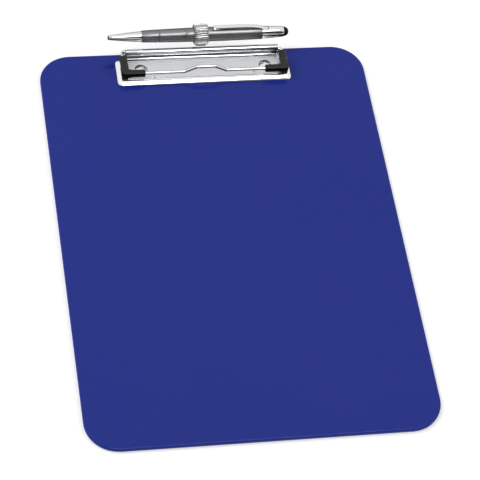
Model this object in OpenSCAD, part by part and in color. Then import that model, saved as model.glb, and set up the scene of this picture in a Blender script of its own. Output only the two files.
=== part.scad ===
// Clipboard with a sprung wire clip, a coil-spring pen loop and a twist pen with a stylus end.
// Origin at the centre of the board's underside: X across the page, +Y toward the clip, +Z up.
// All sizes in millimetres.

/* [Board] */
// Width of the board, across the page
board_w = 230; // [190:1:260]
// Length of the board
board_l = 320; // [280:1:380]
// Thickness of the board
board_t = 3; // [3:0.1:5]
// Radius of the board's four corners
board_corner_r = 22; // [10:0.5:40]
// Rounding of the edge round the writing face
board_top_edge_r = 1.2; // [0.6:0.1:1.6]
// Rounding of the edge round the underside
board_under_edge_r = 0.8; // [0.4:0.1:1.2]

/* [Base plate] */
// Width of the base plate at its foot
plate_w = 122.6; // [118:0.2:140]
// Distance from the plate's front edge to the hinge axis
plate_reach = 24.2; // [22:0.2:32]
// Distance from the plate's rear edge to the hinge axis
plate_rear_gap = 0.4; // [0:0.1:1]
// Height of the plate's flat top above the board
plate_rise = 1.6; // [1.3:0.1:2]
// Width of the sloping rim in plan
plate_rim_w = 3.4; // [2:0.1:4]
// Thickness of the sheet steel
sheet_t = 0.9; // [0.6:0.1:1]
// Width of the raised border round the sunken panel
panel_border = 2.4; // [2:0.1:3]
// Depth of the sunken panel
panel_depth = 0.25; // [0.1:0.05:0.3]
// Corner radius of the sunken panel
panel_corner_r = 2; // [1:0.1:3]
// Distance of each locating dimple from the plate's side
dimple_inset = 25.9; // [22:0.1:32]

/* [Hinge barrel] */
// Distance of each end of the rolled barrel from the plate's side
barrel_inset = 7.1; // [6.8:0.1:9]
// Height of the hinge axis above the board
hinge_h = 6.9; // [6.6:0.1:8]
// Distance from the board's rear edge to the hinge axis
hinge_setback = 5.1; // [4.6:0.1:8]
// Slope of the sheet where it climbs to the barrel
ramp_angle = 43; // [38:1:50]

/* [Bail] */
// Diameter of the spring wire
wire_d = 2.4; // [2:0.1:2.6]
// Distance from the hinge axis to the front bar
bail_reach = 18.9; // [17:0.1:20]
// Bend radius of the front corners, on the wire's centre line
corner_bend_r = 3.5; // [2.6:0.1:3.6]
// Bend radius where a side leg turns into the barrel, on the centre line
rear_bend_r = 2; // [1.6:0.1:2.4]
// Height of the finger bump above the front bar
bump_h = 4.6; // [3:0.1:6]
// Length of the bump's flat top
bump_top_l = 13; // [8:0.5:18]
// Length of the bump at its foot
bump_foot_l = 29.2; // [26:0.2:36]
// Bend radius of the bump's four bends, on the centre line
bump_bend_r = 3; // [2:0.1:4]
// Length of each torsion leg as a share of the barrel's length
torsion_leg_share = 0.85; // [0.6:0.05:0.85]

/* [Rubber corners] */
// Width of the sleeve on a side leg
side_sleeve_w = 5; // [4.4:0.1:5.4]
// Height of both sleeves
sleeve_h = 4.4; // [4:0.1:4.8]
// Depth of the sleeve on the front bar
front_sleeve_w = 4.2; // [4:0.1:5]
// Length of the front sleeve, from the outer side of the corner
front_sleeve_l = 16.6; // [13:0.2:20]
// Length of the thicker corner block along the front bar
corner_block_l = 7.4; // [6:0.1:9]
// How much the corner block stands proud of the sleeves
corner_block_proud = 0.25; // [0.1:0.05:0.4]

/* [Rivets] */
// Distance of each rivet from the plate's side
rivet_inset = 17.1; // [16:0.1:19]
// Distance from the hinge axis to the rivets
rivet_reach = 11; // [9:0.1:12]
// Diameter of the rivet heads
rivet_head_d = 9.3; // [7:0.1:10]
// Height of the rivet heads
rivet_head_h = 1.5; // [1:0.1:1.8]
// Diameter of the rivet shanks
rivet_shank_d = 3.2; // [2.4:0.1:3.6]
// Diameter of the washers under the board
washer_d = 8; // [7:0.1:9]
// Thickness of the washers
washer_t = 0.6; // [0.4:0.1:0.8]

/* [Pen loop] */
// Outside diameter of the coiled loop
loop_od = 15.6; // [15.4:0.1:17]
// Inside diameter of the coiled loop
loop_id = 10.36; // [10.3:0.02:10.6]
// Length of the loop along the pen
loop_l = 10.2; // [8:0.1:12]
// Diameter of the loop's wire
loop_wire_d = 0.95; // [0.8:0.05:1]
// Number of turns round the loop
loop_turns = 32; // [20:1:32]
// Shift of the loop's middle from the board's middle
loop_shift = -0.9; // [-6:0.1:6]
// Angle above the horizontal at which the loop sits on the barrel
loop_lean = 50.9; // [45:0.1:60]
// Part of the circle left free for the strap's foot, in degrees
loop_gap_a = 34; // [30:1:50]
// Thickness of the strap inside the coil
strap_t = 0.4; // [0.3:0.05:0.5]
// Width of the strap inside the coil
strap_w = 6.6; // [4:0.1:7]

/* [Pen body] */
// Length of the nose cone
nose_l = 23.7; // [22:0.1:26]
// Length of the lower barrel
lower_l = 30.9; // [28:0.1:34]
// Length of the upper barrel
upper_l = 54.4; // [50:0.1:60]
// Length of the cap sleeve
cap_l = 15.7; // [13:0.1:18]
// Length of the stylus dome
dome_l = 3.6; // [3:0.1:5]
// Distance from the loop's middle to the pen's twist joint
joint_reach = 10.9; // [7.5:0.1:14]
// Distance from the front of the lower barrel to its groove
groove_reach = 11.9; // [8:0.1:16]
// Distance from the loop's middle to the pen's thickest place
belly_reach = 11; // [8:0.5:14]
// Diameter of the nose at its mouth
nose_tip_d = 3.2; // [3:0.1:3.6]
// Diameter of the nose at the lower barrel
nose_root_d = 7.4; // [7.2:0.1:8]
// Diameter of the lower barrel at the nose
lower_front_d = 8.3; // [8:0.1:9]
// Diameter of the pen at the twist joint
joint_d = 9.8; // [9.4:0.1:10]
// Largest diameter of the pen, inside the loop
belly_d = 10.2; // [9.6:0.02:10.2]
// Diameter of the upper barrel at the cap
upper_end_d = 9.6; // [9:0.1:10]
// Diameter of the cap sleeve at the upper barrel
cap_root_d = 9.1; // [8.8:0.1:9.6]
// Diameter of the cap sleeve at the stylus
cap_end_d = 7.5; // [7:0.1:8.4]
// Diameter of the stylus dome
dome_d = 7; // [6:0.1:7]

/* [Pen clip] */
// Width of the pen clip
clip_w = 3.6; // [3:0.1:4]
// Thickness of the pen clip
clip_t = 0.8; // [0.6:0.1:0.9]
// Distance from the cap to the free end of the clip
clip_l = 35; // [28:0.5:38]
// Height of the clip's arm above the pen's axis, at its highest
clip_rise = 7.6; // [7:0.1:8]
// Diameter of the stud that holds the clip
stud_d = 2.2; // [1.4:0.1:2.6]

/* [Pen works] */
// Travel of the refill as the pen is twisted by half a turn
refill_travel = 4.5; // [3:0.1:5]
// Diameter of the refill's tube
refill_d = 3; // [2.6:0.1:3.2]
// Diameter of the refill's metal tip
refill_tip_d = 2.3; // [2:0.1:2.4]
// Diameter of the writing ball
ball_d = 0.7; // [0.5:0.1:1]
// Distance from the nose's mouth to the seat of the return spring
spring_seat_l = 8.4; // [7:0.1:10]
// Length of the return spring as installed
return_spring_l = 11; // [9:0.1:12]
// Outside diameter of the return spring
return_spring_d = 3.6; // [3.4:0.05:3.7]
// Wire diameter of the return spring
return_wire_d = 0.35; // [0.25:0.05:0.4]
// Number of turns of the return spring
return_turns = 8; // [5:1:10]

/* [Hidden] */

$fn = 64;
eps = 0.01;

// Clearances
running_fit = 0.05;   // between a shaft and the bore that it turns or slides in
sleeve_fit = 0.03;    // between the wire and the rubber moulded round it
leg_gap = 0.1;        // between the two torsion legs inside the barrel
barrel_end_gap = 0.2; // from the barrel's end to the start of the wire's rear bend
hole_fit = 0.1;       // round a rivet's shank
lap = 0.1;            // how far a straight run of wire reaches into the bend beside it
bend_swell = 0.005;   // extra radius of the wire in its bends

// Hinge barrel: two wires side by side turn in its bore
barrel_l = plate_w - 2 * barrel_inset;
bore_d = 2 * wire_d + leg_gap + 2 * running_fit;
barrel_od = bore_d + 2 * sheet_t;
hinge_y = board_l / 2 - hinge_setback;
hinge_z = board_t + hinge_h;

// Base plate
plate_top_z = board_t + plate_rise;
plate_front_y = hinge_y - plate_reach;
plate_rear_y = hinge_y - plate_rear_gap;
plate_l = plate_rear_y - plate_front_y;
plate_mid_y = (plate_rear_y + plate_front_y) / 2;
panel_z = plate_top_z - panel_depth;
seam_angle = 248;     // where the rolled sheet ends, at the front of the barrel's underside
crease_y = hinge_y + bore_d / 2 * sin(ramp_angle)
    - (hinge_h - bore_d / 2 * cos(ramp_angle) - plate_rise) / tan(ramp_angle);
dimple_x = plate_w / 2 - dimple_inset;
dimple_r = 1.5;
dimple_h = 0.4;

// Bail: its frame lies in one level plane through the hinge axis
bail_half_w = barrel_l / 2 + barrel_end_gap + rear_bend_r;
bail_front_y = hinge_y - bail_reach;
leg_offset = (wire_d + leg_gap) / 2;
torsion_leg_l = torsion_leg_share * barrel_l;
sleeve_rear_y = hinge_y - barrel_od / 2 - 0.35;

// Rivets
rivet_x = plate_w / 2 - rivet_inset;
rivet_y = hinge_y - rivet_reach;
rivet_tail_h = 0.6;
counterbore_h = washer_t + rivet_tail_h + 0.2;
counterbore_d = washer_d + 0.8;

// Pen loop and pen axis
pen_reach = (barrel_od + loop_od) / 2;
pen_y = hinge_y + pen_reach * cos(loop_lean);
pen_z = hinge_z + pen_reach * sin(loop_lean);
loop_mid_r = (loop_od + loop_id) / 4;
coil_half_l = (loop_l - loop_wire_d) / 2;
coil_half_h = (loop_od - loop_id) / 4 - loop_wire_d / 2;

// Pen stations, along X from the twist joint
joint_x = loop_shift - joint_reach;
lower_front_x = -lower_l;
nose_tip_x = -lower_l - nose_l;
cap_end_x = upper_l + cap_l;
part_gap = 0.1;       // shadow line between two pen sections
groove_x = lower_front_x + groove_reach;
pen_bore_d = 6;       // bore of the lower barrel
neck_d = 8;           // neck of the lower barrel, on which the upper barrel turns
neck_l = 6.5;
upper_bore_d = 7.2;
belly_x = joint_reach + belly_reach;
upper_wall_x = neck_l + 0.5;

// Refill and its spring
spring_seat_x = nose_tip_x + spring_seat_l;
spring_bore_d = return_spring_d + 0.2;
refill_shoulder_x = spring_seat_x + return_spring_l;
refill_tip_x = nose_tip_x + 0.8;
refill_rear_x = -2;
refill_wall = 0.3;    // least wall of the tube round the tip's spigot
nose_bore_d = refill_tip_d + 2 * running_fit;
nose_spigot_d = pen_bore_d - 2 * running_fit;
nose_spigot_l = 6;

// Twist works: a lug on the follower slides in the guide tube's slot, pushed by a slanting cam
guide_od = pen_bore_d - 2 * running_fit;
guide_id = 4.4;
guide_front_x = -12;
lug_w = 1;
cam_play = 0.8;       // the lug's play at both ends; it is least in mid turn
cam_start_x = neck_l + lug_w + cam_play + 0.2;  // keeps the lug clear of the neck in front
cam_l = 14;
cam_od = upper_bore_d - 2 * running_fit;
cam_id = guide_od + 2 * running_fit;
lug_top_r = cam_od / 2 - 0.3;
cam_slant = atan(refill_travel / (guide_od / 2 + lug_top_r));
cam_mid_x = cam_start_x + cam_od / 2 * tan(cam_slant);
lug_x = cam_mid_x + guide_od / 2 * tan(cam_slant) - cam_play;
guide_rear_x = cam_start_x + cam_l + 1;
follower_d = guide_id - 2 * running_fit;

// Pen clip and stylus
clip_foot_x = upper_l - clip_l;
tongue_l = 5;
tongue_top_r = cap_root_d / 2 - 0.55;
riser_front_x = upper_l + 0.1;
riser_rear_x = riser_front_x + clip_t;
stud_x = upper_l + 3.4;
stem_d = 5;
stem_l = 4;

function unit(v) = v / norm(v);
function is_end(pts, i) = i == 0 || i == len(pts) - 1;
function turn_at(pts, i) = acos(unit(pts[i] - pts[i - 1]) * unit(pts[i + 1] - pts[i]));
function run_in(pts, radii, i) = is_end(pts, i) ? 0 : radii[i] * tan(turn_at(pts, i) / 2) - lap;

// Children drawn with their X axis along x, their Y axis along y and their origin at o
module in_frame(o, x, y) {
    z = cross(x, y);
    multmatrix([[x.x, y.x, z.x, o.x], [x.y, y.y, z.y, o.y], [x.z, y.z, z.z, o.z]]) children();
}

// Bent wire: straight runs between the given corners, and a round bend at each corner.
// The bends are a hair thicker and the runs reach a little way into them, so that all join.
module bent_wire(pts, radii, d) {
    for (i = [0 : len(pts) - 2]) {
        u = unit(pts[i + 1] - pts[i]);
        across = unit(cross(abs(u.z) < 0.9 ? [0, 0, 1] : [1, 0, 0], u));
        run = norm(pts[i + 1] - pts[i]) - run_in(pts, radii, i) - run_in(pts, radii, i + 1);
        in_frame(pts[i] + run_in(pts, radii, i) * u, across, cross(u, across))
            cylinder(h = run, d = d);
    }
    for (i = [1 : len(pts) - 2]) {
        u = unit(pts[i] - pts[i - 1]);
        n = unit(cross(u, pts[i + 1] - pts[i]));
        start = pts[i] - (run_in(pts, radii, i) + lap) * u;
        in_frame(start + radii[i] * cross(n, u), -cross(n, u), u)
            rotate_extrude(angle = turn_at(pts, i)) translate([radii[i], 0]) circle(d = d + 2 * bend_swell);
    }
}

// Outline of a rectangle with round corners, standing on its middle
module round_rect(w, l, r) {
    square([w - 2 * r, l], center = true);
    square([w, l - 2 * r], center = true);
    for (x = [-1, 1], y = [-1, 1]) translate([x * (w / 2 - r), y * (l / 2 - r)]) circle(r = r);
}

// Revolved piece on the pen's axis: points are [distance along X from the joint, radius]
module on_pen_axis() {
    translate([joint_x, pen_y, pen_z]) children();
}
module revolve_x(pts) {
    on_pen_axis() rotate([0, 90, 0]) rotate_extrude() polygon([for (p = pts) [p[1], p[0]]]);
}

// Half of the board's edge profile: r is the distance from the profile's inner side
module board_edge_profile(inner, outer) {
    translate([inner, board_under_edge_r])
        square([outer - inner, board_t - board_under_edge_r - board_top_edge_r]);
    translate([inner, 0]) square([outer - inner - board_under_edge_r, board_t / 2]);
    translate([inner, board_t / 2]) square([outer - inner - board_top_edge_r, board_t / 2]);
    translate([outer - board_top_edge_r, board_t - board_top_edge_r]) circle(r = board_top_edge_r);
    translate([outer - board_under_edge_r, board_under_edge_r]) circle(r = board_under_edge_r);
}

module board_blank() {
    core_w = board_w - 2 * board_corner_r;
    core_l = board_l - 2 * board_corner_r;
    for (a = [0, 180]) rotate([0, 0, a]) {
        rotate([90, 0, 0]) linear_extrude(core_l, center = true)
            board_edge_profile(0, board_w / 2);
        rotate([90, 0, 90]) linear_extrude(core_w, center = true)
            board_edge_profile(0, board_l / 2);
    }
    for (x = [-1, 1], y = [-1, 1])
        translate([x * core_w / 2, y * core_l / 2, 0])
            rotate([0, 0, x > 0 ? (y > 0 ? 0 : 270) : (y > 0 ? 90 : 180)])
                rotate_extrude(angle = 90) board_edge_profile(0, board_corner_r);
}

module board() {
    color("#2F3987") difference() {
        board_blank();
        for (side = [-1, 1]) translate([side * rivet_x, rivet_y, 0]) {
            translate([0, 0, -eps]) cylinder(h = board_t + 2 * eps, d = rivet_shank_d + 2 * hole_fit);
            translate([0, 0, -eps]) cylinder(h = counterbore_h + eps, d = counterbore_d);
        }
    }
}

// Shallow tray with sloping rims and cone-shaped corners, seen from above
module tray(rim, h) {
    top_w = plate_w - 2 * plate_rim_w;
    top_l = plate_l - 2 * plate_rim_w;
    translate([0, plate_mid_y, board_t]) {
        rotate([90, 0, 0]) linear_extrude(top_l, center = true)
            polygon([[-top_w / 2 - rim, 0], [top_w / 2 + rim, 0], [top_w / 2, h], [-top_w / 2, h]]);
        rotate([90, 0, 90]) linear_extrude(top_w, center = true)
            polygon([[-top_l / 2 - rim, 0], [top_l / 2 + rim, 0], [top_l / 2, h], [-top_l / 2, h]]);
        for (x = [-1, 1], y = [-1, 1])
            translate([x * top_w / 2, y * top_l / 2, 0]) cylinder(h = h, r1 = rim, r2 = 0);
    }
}

// Section of the sheet from the plate's flat over the ramp and round the barrel, in Y and Z
module rolled_sheet_profile() {
    inner_r = bore_d / 2;
    outer_r = barrel_od / 2;
    under_z = plate_top_z - sheet_t;
    tangent_in = [hinge_y + inner_r * sin(ramp_angle), hinge_z - inner_r * cos(ramp_angle)];
    tangent_out = [hinge_y + outer_r * sin(ramp_angle), hinge_z - outer_r * cos(ramp_angle)];
    ramp_foot_y = tangent_out.x - (tangent_out.y - under_z) / tan(ramp_angle);
    flat_y = plate_rear_y - plate_rim_w - 1;
    polygon([
        [flat_y, plate_top_z], [crease_y, plate_top_z], tangent_in,
        tangent_out, [ramp_foot_y, under_z], [flat_y, under_z]
    ]);
    translate([hinge_y, hinge_z]) difference() {
        circle(r = outer_r);
        circle(r = inner_r);
        polygon([
            [0, 0],
            for (a = [seam_angle, (seam_angle + 270 + ramp_angle) / 2, 270 + ramp_angle])
                2 * barrel_od * [cos(a), sin(a)]
        ]);
    }
}

module base_plate() {
    rear_flat_y = plate_rear_y - plate_rim_w;
    color("#D8DADC") difference() {
        union() {
            difference() {
                tray(plate_rim_w, plate_rise);
                tray(plate_rim_w * (1 - sheet_t / plate_rise), plate_rise - sheet_t);
                translate([-barrel_l / 2, rear_flat_y, board_t - eps])
                    cube([barrel_l, plate_rim_w + 1, plate_rise + 1]);
            }
            rotate([90, 0, 90]) linear_extrude(barrel_l, center = true) rolled_sheet_profile();
        }
        sunken_panel();
        for (side = [-1, 1])
            translate([side * rivet_x, rivet_y, board_t - eps])
                cylinder(h = plate_rise + 1, d = rivet_shank_d + 2 * hole_fit);
    }
    color("#D8DADC") intersection() {
        for (side = [-1, 1])
            translate([side * dimple_x, plate_front_y + plate_rim_w + panel_border + 0.6,
                       panel_z + dimple_h - dimple_r])
                sphere(r = dimple_r);
        translate([-plate_w / 2, plate_front_y, panel_z - sheet_t / 2])
            cube([plate_w, plate_l, sheet_t]);
    }
}

module sunken_panel() {
    w = plate_w - 2 * plate_rim_w - 2 * panel_border;
    front = plate_front_y + plate_rim_w + panel_border / 2;
    l = crease_y - front;
    translate([0, front + l / 2, panel_z]) linear_extrude(panel_depth + eps)
        round_rect(w, l, panel_corner_r);
}

module rivet(side) {
    sphere_r = (pow(rivet_head_d / 2, 2) + pow(rivet_head_h, 2)) / (2 * rivet_head_h);
    washer_z = counterbore_h - washer_t;
    color("#C9CCD0") translate([side * rivet_x, rivet_y, 0]) {
        translate([0, 0, panel_z]) intersection() {
            translate([0, 0, rivet_head_h - sphere_r]) sphere(r = sphere_r, $fn = 96);
            cylinder(h = rivet_head_h, d = rivet_head_d);
        }
        translate([0, 0, washer_z - rivet_tail_h / 2])
            cylinder(h = panel_z - washer_z + rivet_tail_h / 2, d = rivet_shank_d);
        translate([0, 0, washer_z - rivet_tail_h])
            cylinder(h = rivet_tail_h, d1 = rivet_shank_d * 1.3, d2 = rivet_shank_d * 1.6);
    }
}

module washer(side) {
    color("#B9BCC2") translate([side * rivet_x, rivet_y, counterbore_h - washer_t])
        difference() {
            cylinder(h = washer_t, d = washer_d);
            translate([0, 0, -eps]) cylinder(h = washer_t + 2 * eps, d = rivet_shank_d + 2 * running_fit);
        }
}

// Corners of one half of the bail, from the end of its torsion leg to the front bar
function bail_half(side) =
    let (rear_y = hinge_y - side * leg_offset)
    [[side * (barrel_l / 2 - torsion_leg_l), rear_y, hinge_z], [side * bail_half_w, rear_y, hinge_z],
     [side * bail_half_w, bail_front_y, hinge_z]];

module bail_wire() {
    left = bail_half(-1);
    right = bail_half(1);
    bump = [
        [-bump_foot_l / 2, bail_front_y, hinge_z], [-bump_top_l / 2, bail_front_y, hinge_z + bump_h],
        [bump_top_l / 2, bail_front_y, hinge_z + bump_h], [bump_foot_l / 2, bail_front_y, hinge_z]
    ];
    half_radii = [rear_bend_r, corner_bend_r, bump_bend_r, bump_bend_r];
    color("#CFD2D6") bent_wire(
        concat(left, bump, [right[2], right[1], right[0]]),
        [0, each half_radii, each [for (i = [3 : -1 : 0]) half_radii[i]], 0], wire_d);
}

// Rubber corner: a side sleeve, a front sleeve, a thicker corner block and its foot
module rubber_corner(side) {
    outer_x = bail_half_w + side_sleeve_w / 2;
    front_y = bail_front_y - front_sleeve_w / 2;
    edge_r = 1.3;
    block_h = sleeve_h + 2 * corner_block_proud;
    block_w = side_sleeve_w + 2 * corner_block_proud;
    block_d = front_sleeve_w + 2 * corner_block_proud;
    block_corner_r = 2;
    foot_w = side_sleeve_w - 0.4;
    foot_d = front_sleeve_w - 0.7;
    color("#1C1C1E") mirror([side < 0 ? 1 : 0, 0, 0]) difference() {
        union() {
            // side sleeve
            translate([bail_half_w, (sleeve_rear_y + bail_front_y) / 2, hinge_z]) rotate([90, 0, 0])
                linear_extrude(sleeve_rear_y - bail_front_y, center = true)
                    round_rect(side_sleeve_w, sleeve_h, edge_r);
            // front sleeve
            translate([outer_x - front_sleeve_l, bail_front_y, hinge_z]) rotate([90, 0, 90])
                linear_extrude(front_sleeve_l - side_sleeve_w / 2)
                    round_rect(front_sleeve_w, sleeve_h, edge_r);
            // corner block
            translate([outer_x + corner_block_proud - corner_block_l / 2, bail_front_y, hinge_z])
                linear_extrude(block_h, center = true) round_rect(corner_block_l, block_d, block_corner_r);
            translate([bail_half_w, bail_front_y + block_d / 2, hinge_z])
                linear_extrude(block_h, center = true) round_rect(block_w, 2 * block_d, block_corner_r);
            // foot that presses on the plate
            translate([bail_half_w, bail_front_y, plate_top_z])
                linear_extrude(hinge_h - plate_rise) round_rect(foot_w, foot_d, 0.8);
        }
        bent_wire(
            concat(bail_half(1), [[outer_x - front_sleeve_l - 1, bail_front_y, hinge_z]]),
            [0, rear_bend_r, corner_bend_r, 0], wire_d + 2 * sleeve_fit);
    }
}

// Strap inside the coil, with the foot that joins it to the barrel
module loop_strap() {
    foot_w = 2.3;
    color("#9EA1A6") translate([loop_shift, 0, 0]) rotate([90, 0, 90])
        linear_extrude(strap_w, center = true) difference() {
            union() {
                translate([pen_y, pen_z]) difference() {
                    circle(r = loop_mid_r + strap_t / 2);
                    circle(r = loop_mid_r - strap_t / 2);
                }
                translate([pen_y, pen_z]) rotate(180 + loop_lean)
                    translate([loop_id / 2 + 0.1, -foot_w / 2])
                        square([pen_reach - loop_id / 2 - barrel_od / 4, foot_w]);
            }
            translate([hinge_y, hinge_z]) circle(d = barrel_od);
        }
}

// Centre line of the coil: s counts path points, the section is a flat oval round the strap
oval_steps = 5;
turn_steps = 2 * oval_steps;
coil_points = loop_turns * turn_steps;
function oval(k) =
    let (side = k < oval_steps ? 1 : -1, a = -90 + 180 * (k % oval_steps) / (oval_steps - 1))
    [side * (coil_half_l - coil_half_h + coil_half_h * cos(a)), side * coil_half_h * sin(a)];
function coil_angle(i) =
    180 + loop_lean + loop_gap_a / 2 + (360 - loop_gap_a) * i / coil_points;
function coil_centre(i) =
    let (p = oval(i % turn_steps), a = coil_angle(i), r = loop_mid_r + p.y)
    [p.x, r * cos(a), r * sin(a)];

// Round tube along a centre line given by a function's points, with a frame that does not twist
module tube(centres, rims, d, sides) {
    n = len(centres);
    tangents = [for (i = [0 : n - 1]) unit(centres[min(i + 1, n - 1)] - centres[max(i - 1, 0)])];
    rings = [
        for (i = [0 : n - 1])
            let (u = unit(cross(rims[i], tangents[i])), v = cross(tangents[i], u))
            for (k = [0 : sides - 1])
                centres[i] + d / 2 * (cos(360 * k / sides) * u + sin(360 * k / sides) * v)
    ];
    walls = [
        for (i = [0 : n - 2], k = [0 : sides - 1])
            let (a = i * sides + k, b = i * sides + (k + 1) % sides)
            each [[a, a + sides, b + sides], [a, b + sides, b]]
    ];
    near_cap = [for (k = [0 : sides - 1]) k];
    far_cap = [for (k = [sides - 1 : -1 : 0]) (n - 1) * sides + k];
    polyhedron(rings, concat(walls, [near_cap, far_cap]));
}

module loop_spring() {
    color("#B4B7BB") translate([loop_shift, pen_y, pen_z]) tube(
        [for (i = [0 : coil_points]) coil_centre(i)],
        [for (i = [0 : coil_points]) [0, -sin(coil_angle(i)), cos(coil_angle(i))]],
        loop_wire_d, 6);
}

module pen_nose_cone() {
    r_tip = nose_tip_d / 2;
    r_root = nose_root_d / 2;
    root_x = lower_front_x;
    steps = 8;
    swell = 0.18;
    color("#D5D7DA") revolve_x(concat(
        [[nose_tip_x, nose_bore_d / 2], [nose_tip_x, r_tip - 0.15], [nose_tip_x + 0.2, r_tip]],
        [for (i = [1 : steps])
            let (t = i / steps)
            [nose_tip_x + 0.2 + (nose_l - 0.2) * t, r_tip + (r_root - r_tip) * t + swell * sin(180 * t)]],
        [[root_x, nose_spigot_d / 2], [root_x + nose_spigot_l, nose_spigot_d / 2],
         [root_x + nose_spigot_l, spring_bore_d / 2], [spring_seat_x, spring_bore_d / 2],
         [spring_seat_x, nose_bore_d / 2]]));
}

module pen_lower_barrel() {
    steps = 8;
    swell = 0.12;
    front_x = lower_front_x + part_gap;
    groove_w = 0.35;
    groove_depth = 0.25;
    color("#77787B") difference() {
        revolve_x(concat(
            [[front_x, pen_bore_d / 2]],
            [for (i = [0 : steps])
                let (t = i / steps)
                [front_x + (lower_l - 2 * part_gap) * t,
                 (lower_front_d + (joint_d - lower_front_d) * t) / 2 + swell * sin(180 * t)]],
            [[-part_gap, neck_d / 2], [neck_l, neck_d / 2], [neck_l, pen_bore_d / 2]]));
        revolve_x([
            [groove_x, lower_front_d / 2 + 0.4 - groove_depth], [groove_x, joint_d],
            [groove_x + groove_w, joint_d], [groove_x + groove_w, lower_front_d / 2 + 0.4 - groove_depth]
        ]);
    }
}

// Guide tube with a straight slot for the follower's lug, fixed in the lower barrel
module pen_guide_tube() {
    slot_play = 0.4;
    slot_l = refill_travel + lug_w + 2 * slot_play;
    color("#E8E6DF") difference() {
        revolve_x([
            [guide_front_x, guide_id / 2], [guide_front_x, guide_od / 2],
            [guide_rear_x, guide_od / 2], [guide_rear_x, guide_id / 2]
        ]);
        on_pen_axis() translate([lug_x + slot_play - slot_l, -lug_w / 2 - running_fit, 0])
            cube([slot_l, lug_w + 2 * running_fit, guide_od]);
    }
}

module pen_upper_barrel() {
    r_joint = joint_d / 2;
    r_belly = belly_d / 2;
    r_end = upper_end_d / 2;
    end_x = upper_l - part_gap;
    steps = 6;
    color("#77787B") revolve_x(concat(
        [[0, neck_d / 2 + running_fit], [0, r_joint]],
        [for (i = [1 : steps]) let (t = i / steps)
            [belly_x * t, r_joint + (r_belly - r_joint) * sin(90 * t)]],
        [for (i = [1 : steps]) let (t = i / steps)
            [belly_x + (end_x - belly_x) * t, r_belly - (r_belly - r_end) * (1 - cos(90 * t))]],
        [[end_x, upper_bore_d / 2], [upper_wall_x, upper_bore_d / 2],
         [upper_wall_x, neck_d / 2 + running_fit]]));
}

// Sleeve fixed in the upper barrel. Its slanting front edge drives the follower's lug: the
// lug is at the edge's rearmost point at rest and at its foremost after half a turn
module pen_cam_sleeve() {
    cut = 3 * cam_od;
    color("#F0EFEA") difference() {
        revolve_x([
            [cam_start_x, cam_id / 2], [cam_start_x, cam_od / 2],
            [cam_start_x + cam_l, cam_od / 2], [cam_start_x + cam_l, cam_id / 2]
        ]);
        on_pen_axis() translate([cam_mid_x, 0, 0]) rotate([0, cam_slant, 0])
            translate([-cut, -cut / 2, -cut / 2]) cube(cut);
    }
}

module pen_cap_sleeve() {
    root_x = upper_l;
    spigot_l = 6;
    color("#D5D7DA") difference() {
        revolve_x([
            [root_x - spigot_l, upper_bore_d / 2 - 0.8], [root_x - spigot_l, upper_bore_d / 2 - running_fit],
            [root_x, upper_bore_d / 2 - running_fit], [root_x, cap_root_d / 2],
            [cap_end_x - 0.3, cap_end_d / 2], [cap_end_x, cap_end_d / 2 - 0.3],
            [cap_end_x, stem_d / 2 + running_fit], [cap_end_x - stem_l - 0.2, stem_d / 2 + running_fit],
            [cap_end_x - stem_l - 0.2, upper_bore_d / 2 - 0.8 - 0.6]
        ]);
        // slot for the clip's tongue, open at the cap's front edge
        on_pen_axis() translate([root_x - eps, -clip_w / 2 - running_fit, tongue_top_r - clip_t - running_fit])
            cube([tongue_l + 0.2, clip_w + 2 * running_fit, clip_t + 2 * running_fit]);
        on_pen_axis() translate([root_x - eps, -clip_w / 2 - running_fit, tongue_top_r - clip_t])
            cube([clip_t + 0.2, clip_w + 2 * running_fit, cap_root_d]);
        on_pen_axis() translate([stud_x, 0, 0]) cylinder(h = cap_root_d, d = stud_d + 2 * running_fit);
    }
}

// Height of the arm's outer face above the pen's axis: a low arch that dips to the cap
function clip_face(x) =
    let (t = (x - clip_foot_x) / (riser_rear_x - clip_foot_x))
    clip_rise - 0.4 * pow(1 - t, 2) - 2.4 * pow(t, 6);

// Clip drawn from the side: foot, arm, riser through the cap's front edge, tongue inside the cap
module pen_clip() {
    steps = 14;
    foot_l = 5.2;
    foot_r = belly_d / 2 + 0.1;
    step_l = (riser_rear_x - clip_foot_x) / steps;
    outer_face = [
        for (i = [0 : steps]) let (x = clip_foot_x + i * step_l) [x, clip_face(x)]
    ];
    inner_face = [
        for (x = [riser_front_x, for (i = [steps - 1 : -1 : 3]) clip_foot_x + i * step_l])
            [x, clip_face(x) - clip_t]
    ];
    tongue = [
        [riser_rear_x, tongue_top_r], [upper_l + tongue_l, tongue_top_r],
        [upper_l + tongue_l, tongue_top_r - clip_t], [riser_front_x, tongue_top_r - clip_t]
    ];
    foot = [
        [clip_foot_x + foot_l, clip_face(clip_foot_x + foot_l) - clip_t],
        [clip_foot_x + 0.75 * foot_l, foot_r], [clip_foot_x + 0.3 * foot_l, foot_r],
        [clip_foot_x, clip_face(clip_foot_x) - clip_t]
    ];
    color("#D5D7DA") on_pen_axis() rotate([90, 0, 0]) linear_extrude(clip_w, center = true)
        polygon(concat(outer_face, tongue, inner_face, foot));
}

module pen_clip_stud() {
    rim_z = cap_root_d / 2 + 0.05;
    dome_h = 0.35;
    dome_r = (pow(stud_d / 2, 2) + pow(dome_h, 2)) / (2 * dome_h);
    color("#D5D7DA") on_pen_axis() translate([stud_x, 0, 0]) {
        translate([0, 0, tongue_top_r]) cylinder(h = rim_z - tongue_top_r, d = stud_d);
        translate([0, 0, rim_z]) intersection() {
            translate([0, 0, dome_h - dome_r]) sphere(r = dome_r);
            cylinder(h = dome_h, d = stud_d);
        }
    }
}

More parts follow.
